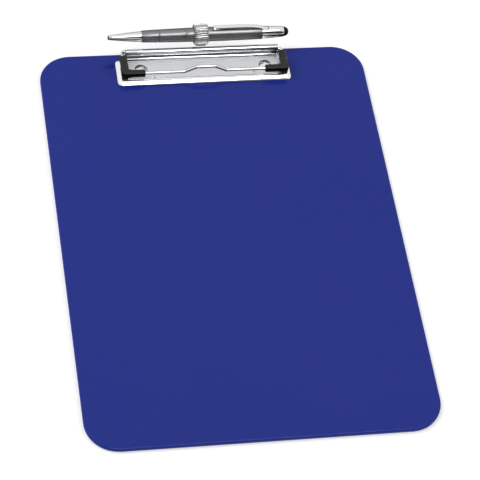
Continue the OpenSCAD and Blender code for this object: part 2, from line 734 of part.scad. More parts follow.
module pen_stylus_tip() {
    steps = 10;
    r = dome_d / 2;
    color("#161617") revolve_x(concat(
        [[cap_end_x - stem_l, 0], [cap_end_x - stem_l, stem_d / 2], [cap_end_x, stem_d / 2], [cap_end_x, r]],
        [for (i = [1 : steps - 1]) let (a = 90 * i / steps) [cap_end_x + dome_l * sin(a), r * cos(a)]],
        [[cap_end_x + dome_l, 0]]));
}

// Pusher behind the refill, with the lug that rides on the cam
module pen_follower() {
    rod_rear_x = lug_x + 3;
    color("#E8E6DF") {
        revolve_x([
            [refill_rear_x, 0], [refill_rear_x, follower_d / 2],
            [rod_rear_x, follower_d / 2], [rod_rear_x, 0]
        ]);
        on_pen_axis() translate([lug_x - lug_w, -lug_w / 2, 0]) cube([lug_w, lug_w, lug_top_r]);
    }
}

module pen_refill_tube() {
    bore_r = refill_tip_d / 2 - refill_wall;
    color("#F2F2F0") revolve_x([
        [refill_shoulder_x, bore_r], [refill_shoulder_x, refill_d / 2],
        [refill_rear_x, refill_d / 2], [refill_rear_x, bore_r]
    ]);
}

module pen_refill_tip() {
    cone_l = 2.6;
    rim_x = refill_tip_x + 0.4 * ball_d;
    socket_r = ball_d / 2 + 0.01;
    spigot_r = refill_tip_d / 2 - refill_wall - running_fit;
    color("#C8A95A") revolve_x([
        [refill_tip_x + ball_d, 0], [refill_tip_x + ball_d, socket_r], [rim_x, socket_r],
        [rim_x, socket_r + 0.06], [refill_tip_x + cone_l, refill_tip_d / 2],
        [refill_shoulder_x, refill_tip_d / 2], [refill_shoulder_x, spigot_r],
        [refill_shoulder_x + 3, spigot_r], [refill_shoulder_x + 3, 0]
    ]);
}

module pen_refill_ball() {
    color("#8E8F93") on_pen_axis() translate([refill_tip_x + ball_d / 2, 0, 0]) sphere(d = ball_d, $fn = 32);
}

module pen_return_spring() {
    steps = 12;
    n = return_turns * steps;
    r = (return_spring_d - return_wire_d) / 2;
    l = refill_shoulder_x - spring_seat_x - return_wire_d - 0.1;
    start = spring_seat_x + return_wire_d / 2 + 0.05;
    color("#B0B2B5") on_pen_axis() tube(
        [for (i = [0 : n]) [start + l * i / n, r * cos(360 * i / steps), r * sin(360 * i / steps)]],
        [for (i = [0 : n]) [1, 0, 0]],
        return_wire_d, 5);
}

board();
base_plate();
rivet(-1);  // rivet_left
rivet(1);  // rivet_right
washer(-1);  // washer_left
washer(1);  // washer_right
bail_wire();
rubber_corner(-1);  // rubber_corner_left
rubber_corner(1);  // rubber_corner_right
loop_strap();
loop_spring();
pen_nose_cone();
pen_lower_barrel();
pen_guide_tube();
pen_upper_barrel();
pen_cam_sleeve();
pen_cap_sleeve();
pen_clip();
pen_clip_stud();
pen_stylus_tip();
pen_follower();
pen_refill_tube();
pen_refill_tip();
pen_refill_ball();
pen_return_spring();
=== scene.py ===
import math

import bmesh
import bpy
from mathutils import Matrix, Vector


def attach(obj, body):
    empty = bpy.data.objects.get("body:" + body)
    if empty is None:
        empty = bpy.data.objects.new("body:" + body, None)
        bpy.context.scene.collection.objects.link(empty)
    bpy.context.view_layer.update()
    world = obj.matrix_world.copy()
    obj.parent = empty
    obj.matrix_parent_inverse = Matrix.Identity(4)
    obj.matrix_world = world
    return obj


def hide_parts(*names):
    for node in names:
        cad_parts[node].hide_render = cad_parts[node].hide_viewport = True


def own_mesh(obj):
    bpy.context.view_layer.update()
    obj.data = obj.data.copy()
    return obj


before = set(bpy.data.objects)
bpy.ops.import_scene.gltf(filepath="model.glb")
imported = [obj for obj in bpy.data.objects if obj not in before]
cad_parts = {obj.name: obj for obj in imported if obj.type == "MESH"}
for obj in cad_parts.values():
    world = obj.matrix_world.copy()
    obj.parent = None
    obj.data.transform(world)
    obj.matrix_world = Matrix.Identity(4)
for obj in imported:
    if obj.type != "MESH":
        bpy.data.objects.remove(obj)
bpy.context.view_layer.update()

# Sizes in millimetres, as in the part's source. The scene itself is in metres.
MM = 0.001

BOARD_TOP = 3.0
HINGE_Y, HINGE_Z = 154.9, 9.9

PLATE_W, PLATE_FRONT, PLATE_REAR = 122.6, 130.7, 154.5
PLATE_RIM, PLATE_TOP, SHEET = 3.4, 4.6, 0.9
PANEL_BORDER, PANEL_DEPTH, PANEL_R = 2.4, 0.25, 2.0
BARREL_L, BORE_R = 108.4, 2.5
RAMP_ANGLE, SEAM_ANGLE = math.radians(43), math.radians(248)

WIRE_R, BAIL_X, BAIL_FRONT = 1.2, 56.4, 136.0
LEG_OFFSET, LEG_L = 1.25, 92.14
BUMP_H, BUMP_TOP, BUMP_FOOT = 4.6, 13.0, 29.2

SLEEVE_W, SLEEVE_D, SLEEVE_H = 5.0, 4.2, 4.4
SLEEVE_GAP, FRONT_SLEEVE_L = 0.35, 16.6
SLEEVE_REAR = HINGE_Y - BORE_R - SHEET - SLEEVE_GAP
BLOCK_PROUD, BLOCK_L = 0.25, 7.4

RIVET_X, RIVET_Y = 44.2, 143.9
DIMPLE_X, DIMPLE_Y = 35.4, 137.1

LOOP_X, LOOP_MID_R = -0.9, 6.49
LOOP_WIRE_R, LOOP_TURNS, LOOP_GAP = 0.475, 32, math.radians(34)
LOOP_LEAN, LOOP_RISE = math.radians(50.9), 11.2
COIL_HALF_L, COIL_HALF_H = 4.625, 0.835

PEN_Y = HINGE_Y + LOOP_RISE * math.cos(LOOP_LEAN)
PEN_Z = HINGE_Z + LOOP_RISE * math.sin(LOOP_LEAN)
PEN_BEVEL = 0.12
CAP_ROOT_R, STUD_X = 4.52, 45.9
NOSE_BORE_R = 1.2
SPRING_SEAT_X, SPRING_L, SPRING_SHORT_L = -58.0, 11.0, 6.3
SPRING_R, SPRING_WIRE_R, SPRING_TURNS = 1.625, 0.175, 8
CLIP_FOOT_X, CLIP_RISER_X, CLIP_RISE = 7.5, 43.4, 7.6
CLIP_W, CLIP_T, CLIP_CHAMFER, TONGUE_TOP = 3.6, 0.8, 0.52, 3.97

# Points that a coil's path has in each of its turns.
PER_TURN = 16


def mm(*values):
    return Vector(values) * MM


# ---------------------------------------------------------------- camera

def add_camera():
    data = bpy.data.cameras.new("Camera")
    data.lens, data.sensor_width = 172.08, 36.0
    data.clip_start, data.clip_end = 0.05, 20.0
    camera = bpy.data.objects.new("Camera", data)
    bpy.context.scene.collection.objects.link(camera)
    back = -Vector((0.17753659, 0.57187103, -0.80090217))
    up = Vector((0.05248494, 0.80717018, 0.58798098))
    right = up.cross(back)
    camera.matrix_world = Matrix.Translation(mm(-266.64, -877.59, 1224.41)) @ Matrix(
        (right, up, back)
    ).transposed().to_4x4()
    bpy.context.scene.camera = camera


add_camera()


# ---------------------------------------------------------------- node groups and finishes

def srgb(red, green, blue):
    """A colour given as 0 to 255 in the usual screen encoding."""
    values = [v / 255 for v in (red, green, blue)]
    linear = [v / 12.92 if v <= 0.04045 else ((v + 0.055) / 1.055) ** 2.4 for v in values]
    return (*linear, 1.0)


def new_group(name, inputs, outputs):
    tree = bpy.data.node_groups.new(name, "ShaderNodeTree")
    for socket, kind, value in inputs:
        made = tree.interface.new_socket(name=socket, in_out="INPUT", socket_type=kind)
        if value is not None:
            made.default_value = value
    for socket, kind in outputs:
        tree.interface.new_socket(name=socket, in_out="OUTPUT", socket_type=kind)
    return tree, tree.nodes.new("NodeGroupInput"), tree.nodes.new("NodeGroupOutput")


def smudge_group():
    """Broad soft patches, as handling leaves on a polished surface: a value from Low to High."""
    tree, inside, outside = new_group(
        "Smudges",
        [("Vector", "NodeSocketVector", None), ("Patches per metre", "NodeSocketFloat", 60.0),
         ("Low", "NodeSocketFloat", 0.1), ("High", "NodeSocketFloat", 0.2)],
        [("Value", "NodeSocketFloat")],
    )
    noise = tree.nodes.new("ShaderNodeTexNoise")
    noise.inputs["Detail"].default_value = 5.0
    noise.inputs["Roughness"].default_value = 0.6
    spread = tree.nodes.new("ShaderNodeMapRange")
    spread.inputs["From Min"].default_value = 0.3
    spread.inputs["From Max"].default_value = 0.75
    tree.links.new(inside.outputs["Vector"], noise.inputs["Vector"])
    tree.links.new(inside.outputs["Patches per metre"], noise.inputs["Scale"])
    tree.links.new(noise.outputs["Fac"], spread.inputs["Value"])
    tree.links.new(inside.outputs["Low"], spread.inputs["To Min"])
    tree.links.new(inside.outputs["High"], spread.inputs["To Max"])
    tree.links.new(spread.outputs["Result"], outside.inputs["Value"])
    return tree


def grain_group():
    """Fine grain: a height for a Bump node, and the same grain as a mask."""
    tree, inside, outside = new_group(
        "Fine Grain",
        [("Vector", "NodeSocketVector", None), ("Grains per metre", "NodeSocketFloat", 1500.0)],
        [("Height", "NodeSocketFloat"), ("Mask", "NodeSocketFloat")],
    )
    noise = tree.nodes.new("ShaderNodeTexNoise")
    noise.inputs["Detail"].default_value = 3.0
    ramp = tree.nodes.new("ShaderNodeValToRGB")
    ramp.color_ramp.elements[0].position = 0.35
    ramp.color_ramp.elements[1].position = 0.7
    tree.links.new(inside.outputs["Vector"], noise.inputs["Vector"])
    tree.links.new(inside.outputs["Grains per metre"], noise.inputs["Scale"])
    tree.links.new(noise.outputs["Fac"], outside.inputs["Height"])
    tree.links.new(noise.outputs["Fac"], ramp.inputs["Fac"])
    tree.links.new(ramp.outputs["Color"], outside.inputs["Mask"])
    return tree


def hairline_group():
    """Thin straight lines along X, as polishing and drawing leave on metal."""
    tree, inside, outside = new_group(
        "Hairlines",
        [("Vector", "NodeSocketVector", None), ("Lines per metre", "NodeSocketFloat", 2500.0)],
        [("Height", "NodeSocketFloat"), ("Mask", "NodeSocketFloat")],
    )
    stretch = tree.nodes.new("ShaderNodeMapping")
    stretch.inputs["Scale"].default_value = (0.02, 1.0, 1.0)
    noise = tree.nodes.new("ShaderNodeTexNoise")
    noise.inputs["Detail"].default_value = 2.0
    sharpen = tree.nodes.new("ShaderNodeMapRange")
    sharpen.inputs["From Min"].default_value = 0.55
    sharpen.inputs["From Max"].default_value = 0.8
    tree.links.new(inside.outputs["Vector"], stretch.inputs["Vector"])
    tree.links.new(stretch.outputs["Vector"], noise.inputs["Vector"])
    tree.links.new(inside.outputs["Lines per metre"], noise.inputs["Scale"])
    tree.links.new(noise.outputs["Fac"], sharpen.inputs["Value"])
    tree.links.new(noise.outputs["Fac"], outside.inputs["Height"])
    tree.links.new(sharpen.outputs["Result"], outside.inputs["Mask"])
    return tree


smudges, fine_grain, hairlines = smudge_group(), grain_group(), hairline_group()


class Finish:
    """A material with one Principled BSDF, and short calls that add to it."""

    def __init__(self, name, color, roughness, **constants):
        self.material = bpy.data.materials.new(name)
        self.material.use_nodes = True
        self.tree = self.material.node_tree
        self.shader = self.tree.nodes["Principled BSDF"]
        self.shader.inputs["Base Color"].default_value = color
        self.shader.inputs["Roughness"].default_value = roughness
        for socket, value in constants.items():
            self.shader.inputs[socket.replace("_", " ")].default_value = value
        self.place = self.tree.nodes.new("ShaderNodeTexCoord").outputs["Object"]
        self.normal = None

    def use(self, group, **values):
        """Places a shared group on Object coordinates, with its own values."""
        node = self.tree.nodes.new("ShaderNodeGroup")
        node.node_tree = group
        self.tree.links.new(self.place, node.inputs["Vector"])
        for socket, value in values.items():
            node.inputs[socket.replace("_", " ")].default_value = value
        return node

    def bump(self, height, strength, depth):
        """Adds a bump on top of those before it."""
        node = self.tree.nodes.new("ShaderNodeBump")
        node.inputs["Strength"].default_value = strength
        node.inputs["Distance"].default_value = depth
        self.tree.links.new(height, node.inputs["Height"])
        if self.normal:
            self.tree.links.new(self.normal, node.inputs["Normal"])
        self.normal = node.outputs["Normal"]
        self.tree.links.new(self.normal, self.shader.inputs["Normal"])

    def tint(self, mask, first, second):
        """Mixes the base colour between two by a mask."""
        mix = self.tree.nodes.new("ShaderNodeMix")
        mix.data_type = "RGBA"
        mix.inputs[6].default_value, mix.inputs[7].default_value = first, second
        self.tree.links.new(mask, mix.inputs[0])
        self.tree.links.new(mix.outputs[2], self.shader.inputs["Base Color"])

    def upward(self, mask):
        """Keeps all of a mask's light part, and half of its dark part, on upward faces alone: a
        mask of painted light on the tops.
        """
        facing = self.tree.nodes.new("ShaderNodeSeparateXYZ")
        self.tree.links.new(self.place.node.outputs["Normal"], facing.inputs[0])
        spread = self.tree.nodes.new("ShaderNodeMapRange")
        spread.inputs["From Min"].default_value = 0.3
        spread.inputs["From Max"].default_value = 0.95
        self.tree.links.new(facing.outputs["Z"], spread.inputs["Value"])
        lift = self.tree.nodes.new("ShaderNodeMapRange")
        lift.inputs["To Min"].default_value = 0.5
        self.tree.links.new(mask, lift.inputs["Value"])
        both = self.tree.nodes.new("ShaderNodeMath")
        both.operation = "MULTIPLY"
        self.tree.links.new(spread.outputs["Result"], both.inputs[0])
        self.tree.links.new(lift.outputs["Result"], both.inputs[1])
        return both.outputs[0]

    def roughen(self, value):
        self.tree.links.new(value, self.shader.inputs["Roughness"])

    def mirrored(self, color):
        """Gives the surface another colour where polished metal mirrors it: a painted reflection
        colour.
        """
        mix = self.tree.nodes.new("ShaderNodeMix")
        mix.data_type = "RGBA"
        path = self.tree.nodes.new("ShaderNodeLightPath")
        own = self.shader.inputs["Base Color"].links[0].from_socket
        mix.inputs[7].default_value = color
        self.tree.links.new(path.outputs["Is Glossy Ray"], mix.inputs[0])
        self.tree.links.new(own, mix.inputs[6])
        self.tree.links.new(mix.outputs[2], self.shader.inputs["Base Color"])


def board_finish():
    finish = Finish("Blue Board Plastic", srgb(32, 48, 140), 0.14, Specular_IOR_Level=0.14)
    patches = finish.use(smudges, Patches_per_metre=14.0, Low=0.1, High=0.17)
    finish.roughen(patches.outputs["Value"])
    tone = finish.use(smudges, Patches_per_metre=5.0, Low=0.0, High=1.0)
    finish.tint(tone.outputs["Value"], srgb(31, 47, 139), srgb(34, 49, 142))
    # Painted reflection: metal mirrors the board in this dark grey instead of its blue.
    finish.mirrored(srgb(46, 47, 52))
    peel = finish.use(fine_grain, Grains_per_metre=260.0)
    finish.bump(peel.outputs["Height"], 0.03, 0.0002)
    return finish.material


def chrome_finish(name, low, high, color, edge):
    """Polished plating. The edge value is the share of its shine that is left at a low angle."""
    finish = Finish(name, color, low, Metallic=1.0, Specular_Tint=(edge, edge, edge, 1.0))
    patches = finish.use(smudges, Patches_per_metre=70.0, Low=low, High=high)
    finish.roughen(patches.outputs["Value"])
    fine = finish.use(hairlines, Lines_per_metre=1800.0)
    finish.bump(fine.outputs["Height"], 0.012, 0.0001)
    wavy = finish.use(fine_grain, Grains_per_metre=45.0)
    finish.bump(wavy.outputs["Height"], 0.01, 0.0004)
    return finish.material


def panel_finish():
    """The pressed panel is blasted before it is plated, so it mirrors little."""
    finish = Finish("Satin Panel Plating", srgb(231, 232, 233), 0.45, Metallic=0.3)
    tone = finish.use(smudges, Patches_per_metre=30.0, Low=0.0, High=1.0)
    finish.tint(tone.outputs["Value"], srgb(229, 230, 231), srgb(234, 235, 236))
    patches = finish.use(smudges, Patches_per_metre=90.0, Low=0.38, High=0.5)
    finish.roughen(patches.outputs["Value"])
    grain = finish.use(fine_grain, Grains_per_metre=4000.0)
    finish.bump(grain.outputs["Height"], 0.04, 0.00005)
    return finish.material


def spring_finish():
    finish = Finish("Drawn Spring Steel", srgb(190, 191, 192), 0.32, Metallic=1.0,
                    Specular_Tint=(0.1, 0.1, 0.1, 1.0))
    tone = finish.use(hairlines, Lines_per_metre=3000.0)
    finish.tint(tone.outputs["Mask"], srgb(194, 195, 196), srgb(164, 165, 167))
    patches = finish.use(smudges, Patches_per_metre=500.0, Low=0.26, High=0.42)
    finish.roughen(patches.outputs["Value"])
    return finish.material


def gunmetal_finish():
    finish = Finish("Satin Gunmetal Lacquer", srgb(126, 126, 128), 0.37, Metallic=1.0,
                    Specular_Tint=(0.0, 0.0, 0.0, 1.0))
    tone = finish.use(fine_grain, Grains_per_metre=5000.0)
    finish.tint(tone.outputs["Mask"], srgb(120, 120, 122), srgb(131, 131, 133))
    patches = finish.use(smudges, Patches_per_metre=120.0, Low=0.35, High=0.39)
    finish.roughen(patches.outputs["Value"])
    finish.bump(tone.outputs["Height"], 0.012, 0.0001)
    return finish.material


def rubber_finish(name, color, painted_top_color, gloss):
    """Black rubber, painted greyer on its upward faces as painted top light, with a fine grain in
    it.
    """
    finish = Finish(name, color, 0.35, Specular_IOR_Level=gloss)
    grain = finish.use(fine_grain, Grains_per_metre=2600.0)
    # Painted light: upward faces are mixed toward the lighter painted top colour.
    finish.tint(finish.upward(grain.outputs["Mask"]), color, painted_top_color)
    patches = finish.use(smudges, Patches_per_metre=150.0, Low=0.24, High=0.42)
    finish.roughen(patches.outputs["Value"])
    finish.bump(grain.outputs["Height"], 0.2, 0.0002)
    return finish.material


def steel_finish():
    finish = Finish("Plated Steel", srgb(214, 215, 218), 0.12, Metallic=1.0,
                    Specular_Tint=(0.1, 0.1, 0.1, 1.0))
    patches = finish.use(smudges, Patches_per_metre=220.0, Low=0.07, High=0.16)
    finish.roughen(patches.outputs["Value"])
    grain = finish.use(fine_grain, Grains_per_metre=2400.0)
    finish.bump(grain.outputs["Height"], 0.03, 0.0001)
    return finish.material


def moulded_finish(name, color, shade, low, high, **constants):
    finish = Finish(name, color, low, **constants)
    tone = finish.use(smudges, Patches_per_metre=260.0, Low=0.0, High=1.0)
    finish.tint(tone.outputs["Value"], color, shade)
    patches = finish.use(smudges, Patches_per_metre=400.0, Low=low, High=high)
    finish.roughen(patches.outputs["Value"])
    grain = finish.use(fine_grain, Grains_per_metre=3000.0)
    finish.bump(grain.outputs["Height"], 0.08, 0.0001)
    return finish.material


BOARD_PLASTIC = board_finish()
PLATE_CHROME = chrome_finish("Bright Plate Chrome", 0.05, 0.11, srgb(226, 227, 229), 0.3)
PANEL_CHROME = panel_finish()
WIRE_CHROME = chrome_finish("Bright Wire Chrome", 0.06, 0.13, srgb(222, 223, 226), 0.2)
PEN_CHROME = chrome_finish("Pen Chrome", 0.06, 0.12, srgb(212, 212, 214), 0.1)
SPRING_STEEL = spring_finish()
GUNMETAL = gunmetal_finish()
# The second colour of each rubber is painted top light on its upward faces.
CORNER_RUBBER = rubber_finish("Moulded Corner Rubber", srgb(5, 5, 6), srgb(38, 38, 39), 0.24)
STYLUS_RUBBER = rubber_finish("Stylus Rubber", srgb(3, 3, 4), srgb(9, 9, 10), 0.12)
PLATED_STEEL = steel_finish()
ACETAL = moulded_finish("Natural Acetal", srgb(232, 230, 223), srgb(220, 217, 208), 0.35, 0.5)
# A black finish for painted shade: the nose's open mouth and the gap round the clip's stud.
SHADE_BLACK = moulded_finish("Painted Shade Black", srgb(22, 22, 24), srgb(32, 32, 34), 0.2, 0.35)
REFILL_TUBE = moulded_finish(
    "Refill Tube Plastic", srgb(240, 240, 238), srgb(228, 230, 232), 0.2, 0.3)
REFILL_BRASS = moulded_finish(
    "Turned Brass", srgb(196, 162, 84), srgb(178, 142, 66), 0.2, 0.32, Metallic=1.0)


# ---------------------------------------------------------------- mesh helpers

def verts_of(geometry):
    return [v for v in geometry if isinstance(v, bmesh.types.BMVert)]


def ring_edges(made):
    """The edges among what an operator made that run between its new vertices."""
    verts = set(verts_of(made))
    return [e for e in made if isinstance(e, bmesh.types.BMEdge) and set(e.verts) <= verts]


def soften(bm, edges, width, segments=3):
    bmesh.ops.bevel(bm, geom=edges, offset=width, offset_type="OFFSET", affect="EDGES",
                    segments=segments, profile=0.5, material=-1, clamp_overlap=True)


def round_corners(bm, verts, width, segments=6):
    bmesh.ops.bevel(bm, geom=verts, offset=width, offset_type="OFFSET", affect="VERTICES",
                    segments=segments, profile=0.5, material=-1)


def sharp_edges(bm, degrees=35):
    limit = math.radians(degrees)
    return [e for e in bm.edges if len(e.link_faces) == 2 and e.calc_face_angle(0) > limit]


def finish_piece(name, bm, material, body, replaces=()):
    """Turns a bmesh into an object of the model, in metres and at the origin."""
    bmesh.ops.remove_doubles(bm, verts=bm.verts, dist=1e-6)
    bmesh.ops.recalc_face_normals(bm, faces=bm.faces)
    for face in bm.faces:
        face.smooth = True
    for edge in bm.edges:
        edge.smooth = edge.calc_face_angle(0) < math.radians(40)
    mesh = bpy.data.meshes.new(name)
    bm.to_mesh(mesh)
    bm.free()
    piece = bpy.data.objects.new(name, mesh)
    bpy.context.scene.collection.objects.link(piece)
    mesh.materials.append(material)
    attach(piece, body)
    if replaces:
        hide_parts(*replaces)
    return piece


def polyline(bm, points, closed=False):
    verts = [bm.verts.new(p) for p in points]
    edges = [bm.edges.new(pair) for pair in zip(verts, verts[1:])]
    if closed:
        edges.append(bm.edges.new((verts[-1], verts[0])))
    return verts, edges


def turned(bm, points, centre, axis, steps=64):
    """Spins a profile of points a full turn about an axis."""
    verts, edges = polyline(bm, points)
    bmesh.ops.spin(bm, geom=verts + edges, cent=centre, axis=axis, angle=2 * math.pi,
                   steps=steps, use_merge=True, use_duplicate=False)
    bmesh.ops.remove_doubles(bm, verts=bm.verts, dist=1e-6)


def on_pen(points):
    """Places (distance along X, radius) points over the pen's axis."""
    return [mm(x, PEN_Y, PEN_Z + r) for x, r in points]


def turned_pen_piece(name, points, material, body, replaces):
    bm = bmesh.new()
    turned(bm, on_pen(points), mm(0, PEN_Y, PEN_Z), (1, 0, 0))
    soften(bm, sharp_edges(bm), PEN_BEVEL * MM, 2)
    return finish_piece(name, bm, material, body, replaces)


def swept_ring(bm, frames, radius, sides):
    """Carries a ring of vertices through a list of frames, joining it to itself at each step."""
    ring = bmesh.ops.create_circle(bm, cap_ends=True, radius=radius, segments=sides,
                                   matrix=frames[0])
    edges = list({e for v in ring["verts"] for e in v.link_edges})
    for before, after in zip(frames, frames[1:]):
        made = bmesh.ops.extrude_edge_only(bm, edges=edges)["geom"]
        bmesh.ops.transform(bm, matrix=after @ before.inverted(), verts=verts_of(made))
        edges = ring_edges(made)
    bmesh.ops.edgeloop_fill(bm, edges=edges)


def bent_wire(bm, corners, bends, radius, sides=20):
    """A round wire through corner points, with a bend of the given radius at each inner corner."""
    heading = (corners[1] - corners[0]).normalized()
    start = heading.to_track_quat("Z", "Y").to_matrix().to_4x4()
    ring = bmesh.ops.create_circle(bm, cap_ends=True, radius=radius, segments=sides,
                                   matrix=Matrix.Translation(corners[0]) @ start)
    edges = list({e for v in ring["verts"] for e in v.link_edges})
    place = corners[0]
    for i, corner in enumerate(corners[1:], 1):
        heading = (corner - corners[i - 1]).normalized()
        last = i == len(corners) - 1
        turn = 0 if last else heading.angle(corners[i + 1] - corner)
        setback = 0 if last else bends[i - 1] * math.tan(turn / 2)
        end = corner - heading * setback
        made = bmesh.ops.extrude_edge_only(bm, edges=edges)["geom"]
        bmesh.ops.translate(bm, vec=end - place, verts=verts_of(made))
        edges = ring_edges(made)
        place = end
        if not last:
            normal = heading.cross(corners[i + 1] - corner).normalized()
            centre = place + normal.cross(heading) * bends[i - 1]
            steps = max(4, round(math.degrees(turn) / 8))
            made = bmesh.ops.spin(bm, geom=edges, cent=centre, axis=normal, angle=turn,
                                  steps=steps, use_merge=False, use_duplicate=False)["geom_last"]
            edges = ring_edges(made)
            place = centre + Matrix.Rotation(turn, 3, normal) @ (place - centre)
    bmesh.ops.edgeloop_fill(bm, edges=edges)


def round_rect(bm, x, y, width, length, radius, z):
    """A closed loop of edges: a rectangle with round corners. Such loops match point for point."""
    verts, _ = polyline(bm, [
        mm(x - width / 2, y - length / 2, z), mm(x + width / 2, y - length / 2, z),
        mm(x + width / 2, y + length / 2, z), mm(x - width / 2, y + length / 2, z),
    ], closed=True)
    before = set(bm.verts) - set(verts)
    round_corners(bm, verts, radius * MM)
    made = set(bm.verts) - before
    return [e for e in bm.edges if set(e.verts) <= made]


# ---------------------------------------------------------------- the clip

CREASE_Y = HINGE_Y + BORE_R * math.sin(RAMP_ANGLE) - (
    HINGE_Z - BORE_R * math.cos(RAMP_ANGLE) - PLATE_TOP) / math.tan(RAMP_ANGLE)


def add_plate_tray():
    """The pressed tray: a sloping rim, a flat border and the sunken panel."""
    bm = bmesh.new()
    length = PLATE_REAR - PLATE_FRONT
    middle = (PLATE_REAR + PLATE_FRONT) / 2
    top_w, top_l = PLATE_W - 2 * PLATE_RIM, length - 2 * PLATE_RIM
    panel_w, panel_front = top_w - 2 * PANEL_BORDER, PLATE_FRONT + PLATE_RIM + PANEL_BORDER / 2
    floor_z = PLATE_TOP - PANEL_DEPTH

    def panel_loop(inset, z):
        """A loop round the panel. Its rear side hardly moves in, and stays under the barrel."""
        front, rear = panel_front + inset, PLATE_REAR - PLATE_RIM - 0.05 - inset / 6
        return round_rect(bm, 0, (front + rear) / 2, panel_w - 2 * inset, rear - front,
                          PANEL_R - 0.6 * inset, z)

    loops = [
        round_rect(bm, 0, middle, PLATE_W - 0.2, length - 0.2, 3.5, BOARD_TOP),
        round_rect(bm, 0, middle, PLATE_W, length, 3.6, BOARD_TOP + 0.15),
        round_rect(bm, 0, middle, PLATE_W - 0.3, length - 0.3, 3.45, BOARD_TOP + 0.35),
        round_rect(bm, 0, middle, top_w + 1.0, top_l + 1.0, 1.0, PLATE_TOP - 0.2),
        round_rect(bm, 0, middle, top_w + 0.4, top_l + 0.4, 0.7, PLATE_TOP - 0.05),
        round_rect(bm, 0, middle, top_w, top_l, 0.5, PLATE_TOP),
        panel_loop(0, PLATE_TOP - 0.01),
        panel_loop(0.15, PLATE_TOP - 0.05),
        panel_loop(0.45, floor_z + 0.1),
        panel_loop(0.7, floor_z + 0.02),
        panel_loop(0.8, floor_z),
    ]
    for lower, upper in zip(loops, loops[1:]):
        bmesh.ops.bridge_loops(bm, edges=lower + upper)
    for end in (loops[0], loops[-1]):
        bmesh.ops.contextual_create(bm, geom=end)
    finish_piece("plate_tray", bm, PLATE_CHROME, "base", ["base_plate"])

    bm = bmesh.new()
    sheet = [panel_loop(0.75, floor_z + lift) for lift in (-0.2, 0.01)]
    bmesh.ops.bridge_loops(bm, edges=sheet[0] + sheet[1])
    for end in sheet:
        bmesh.ops.contextual_create(bm, geom=end)
    finish_piece("plate_panel", bm, PANEL_CHROME, "base")


def add_plate_barrel():
    """The rear of the same sheet: a short flat, the ramp, and the roll round the hinge axis."""
    bm = bmesh.new()
    tangent_y = HINGE_Y + BORE_R * math.sin(RAMP_ANGLE)
    tangent_z = HINGE_Z - BORE_R * math.cos(RAMP_ANGLE)
    half = BARREL_L / 2
    flat_y = PLATE_REAR - PLATE_RIM - 0.2
    verts, edges = polyline(bm, [mm(x, flat_y, PLATE_TOP) for x in (-half, half)])
    for y, z in ((CREASE_Y, PLATE_TOP), (tangent_y, tangent_z)):
        made = bmesh.ops.extrude_edge_only(bm, edges=edges)["geom"]
        for v in verts_of(made):
            v.co.y, v.co.z = y * MM, z * MM
        edges = ring_edges(made)
        if z == PLATE_TOP:
            crease = edges
    bmesh.ops.spin(bm, geom=edges, cent=mm(0, HINGE_Y, HINGE_Z), axis=(1, 0, 0),
                   angle=SEAM_ANGLE + math.pi / 2 - RAMP_ANGLE, steps=60,
                   use_merge=False, use_duplicate=False)
    soften(bm, crease, 1.1 * MM, 6)
    bmesh.ops.solidify(bm, geom=bm.faces[:], thickness=SHEET * MM)
    soften(bm, sharp_edges(bm, 60), 0.12 * MM, 2)
    finish_piece("plate_barrel", bm, PLATE_CHROME, "base", ["base_plate"])


def add_dimple(side, name):
    """A small round pip pressed up through the front of the panel."""
    bm = bmesh.new()
    x = side * DIMPLE_X
    base = PLATE_TOP - PANEL_DEPTH
    profile = [(0, 0.4), (0.4, 0.36), (0.75, 0.25), (1.0, 0.1), (1.25, 0.02), (1.35, 0.0),
               (1.3, -0.2), (0, -0.2)]
    turned(bm, [mm(x + r, DIMPLE_Y, base + z) for r, z in profile], mm(x, DIMPLE_Y, 0),
           (0, 0, 1), 32)
    finish_piece(name, bm, PLATE_CHROME, "base")


def leg_rear(side):
    """Rear end of a side leg. The torsion legs lie level, one on each side of the hinge axis."""
    return mm(side * BAIL_X, HINGE_Y - side * LEG_OFFSET, HINGE_Z)


def add_box(bm, x, y, z):
    """A closed box over three ranges."""
    made = bmesh.ops.create_cube(bm, size=1.0)["verts"]
    for v in made:
        v.co = mm(*(max(span) if c > 0 else min(span) for c, span in zip(v.co, (x, y, z))))


